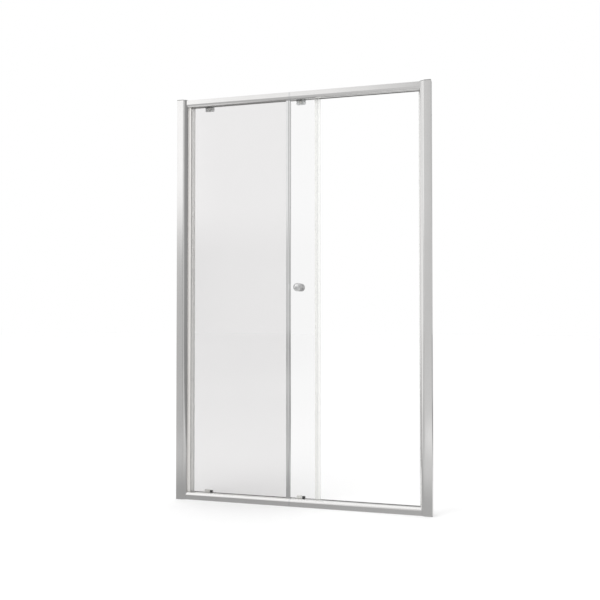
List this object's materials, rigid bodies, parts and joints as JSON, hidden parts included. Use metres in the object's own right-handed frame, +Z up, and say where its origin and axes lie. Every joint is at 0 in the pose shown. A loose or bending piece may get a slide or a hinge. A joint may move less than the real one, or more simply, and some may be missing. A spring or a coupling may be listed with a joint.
{
  "type": "shower door",
  "caption": "Framed sliding shower door: a fixed glass pane and a sliding one on rollers, between telescoping wall posts, with a round knob on both sides.",
  "frame": {"origin": "middle of the bottom rail's underside, halfway between the walls and halfway through the frame's depth", "axes": "+Z up, +X towards the right-hand wall seen from outside the shower, +Y into the shower"},
  "size_m": [1.2, 0.0746, 1.9],
  "materials": {
    "aluminium": "bright polished anodised",
    "chrome": "mirror plated",
    "steel": "plain stainless",
    "glass": "clear toughened",
    "vinyl": "clear soft vinyl",
    "white_plastic": "milky moulded",
    "grey_plastic": "satin moulded",
    "black_plastic": "moulded",
    "nylon": "moulded",
    "rubber": "matt"
  },
  "bodies": {
    "frame": {"wall_profile_left": "aluminium", "wall_profile_right": "aluminium", "jamb_left": "aluminium", "jamb_right": "aluminium", "jamb_screw_left_low": "steel", "jamb_screw_left_mid": "steel", "jamb_screw_left_high": "steel", "jamb_screw_right_low": "steel", "jamb_screw_right_mid": "steel", "jamb_screw_right_high": "steel", "jamb_cap_left": "grey_plastic", "jamb_cap_right": "grey_plastic", "top_rail": "aluminium", "bottom_rail": "aluminium", "rail_screw_top_left": "steel", "rail_screw_top_right": "steel", "rail_screw_bottom_left": "steel", "rail_screw_bottom_right": "steel", "fixed_glass": "glass", "fixed_gasket_side": "vinyl", "fixed_gasket_top": "vinyl", "fixed_gasket_bottom": "vinyl", "fixed_trim": "chrome", "trim_wiper": "vinyl", "trim_clip_top": "chrome", "trim_clip_bottom": "chrome", "infill_top": "aluminium", "infill_bottom": "aluminium", "jamb_infill": "aluminium", "strike_seal": "vinyl", "door_stop_open": "rubber", "door_stop_closed": "rubber"},
    "sliding_door": {"sliding_glass": "glass", "leading_seal": "vinyl", "trailing_seal": "vinyl", "roller_body_rear": "grey_plastic", "roller_body_front": "grey_plastic", "roller_bolt_rear": "chrome", "roller_bolt_front": "chrome", "roller_pin_rear_left": "steel", "roller_pin_rear_right": "steel", "roller_pin_front_left": "steel", "roller_pin_front_right": "steel", "guide_body_rear": "white_plastic", "guide_body_front": "white_plastic", "knob_front": "chrome", "knob_back": "chrome", "knob_stud": "steel", "knob_washer_front": "white_plastic", "knob_washer_back": "white_plastic", "guide_spring_rear": "steel", "guide_spring_front": "steel"},
    "wheel_rear_left": {"roller_wheel_rear_left": "nylon"},
    "wheel_rear_right": {"roller_wheel_rear_right": "nylon"},
    "wheel_front_left": {"roller_wheel_front_left": "nylon"},
    "wheel_front_right": {"roller_wheel_front_right": "nylon"},
    "release_rear": {"guide_plunger_rear": "black_plastic"},
    "release_front": {"guide_plunger_front": "black_plastic"},
    "lower_wheel_rear": {"guide_wheel_rear": "nylon"},
    "lower_wheel_front": {"guide_wheel_front": "nylon"}
  },
  "joints": [
    {"name": "door_slide", "type": "slide", "parent": "frame", "child": "sliding_door", "axis": [1, 0, 0], "range_m": [0, 0.4463]},
    {"name": "wheel_rear_left_spin", "type": "hinge", "parent": "sliding_door", "child": "wheel_rear_left", "pos_m": [-0.459, 0.0191, 1.8742], "axis": [0, 1, 0], "continuous": true},
    {"name": "wheel_rear_right_spin", "type": "hinge", "parent": "sliding_door", "child": "wheel_rear_right", "pos_m": [-0.437, 0.0191, 1.8742], "axis": [0, 1, 0], "continuous": true},
    {"name": "wheel_front_left_spin", "type": "hinge", "parent": "sliding_door", "child": "wheel_front_left", "pos_m": [-0.008, 0.0191, 1.8742], "axis": [0, 1, 0], "continuous": true},
    {"name": "wheel_front_right_spin", "type": "hinge", "parent": "sliding_door", "child": "wheel_front_right", "pos_m": [0.014, 0.0191, 1.8742], "axis": [0, 1, 0], "continuous": true},
    {"name": "release_rear_press", "type": "slide", "parent": "sliding_door", "child": "release_rear", "axis": [0, 0, -1], "range_m": [0, 0.0034], "stiffness_N_per_m": 300, "springref_m": -0.01, "deforming": ["guide_spring_rear"]},
    {"name": "lower_wheel_rear_spin", "type": "hinge", "parent": "release_rear", "child": "lower_wheel_rear", "pos_m": [-0.43555, 0.0191, 0.0258], "axis": [0, 1, 0], "continuous": true},
    {"name": "release_front_press", "type": "slide", "parent": "sliding_door", "child": "release_front", "axis": [0, 0, -1], "range_m": [0, 0.0034], "stiffness_N_per_m": 300, "springref_m": -0.01, "deforming": ["guide_spring_front"]},
    {"name": "lower_wheel_front_spin", "type": "hinge", "parent": "release_front", "child": "lower_wheel_front", "pos_m": [0.01545, 0.0191, 0.0258], "axis": [0, 1, 0], "continuous": true}
  ],
  "couplings": [
    {"joint": "wheel_rear_left_spin", "follows": "door_slide", "rad_per_m": 140.85},
    {"joint": "wheel_rear_right_spin", "follows": "door_slide", "rad_per_m": 140.85},
    {"joint": "wheel_front_left_spin", "follows": "door_slide", "rad_per_m": 140.85},
    {"joint": "wheel_front_right_spin", "follows": "door_slide", "rad_per_m": 140.85},
    {"joint": "lower_wheel_rear_spin", "follows": "door_slide", "rad_per_m": -277.78},
    {"joint": "lower_wheel_front_spin", "follows": "door_slide", "rad_per_m": -277.78}
  ]
}
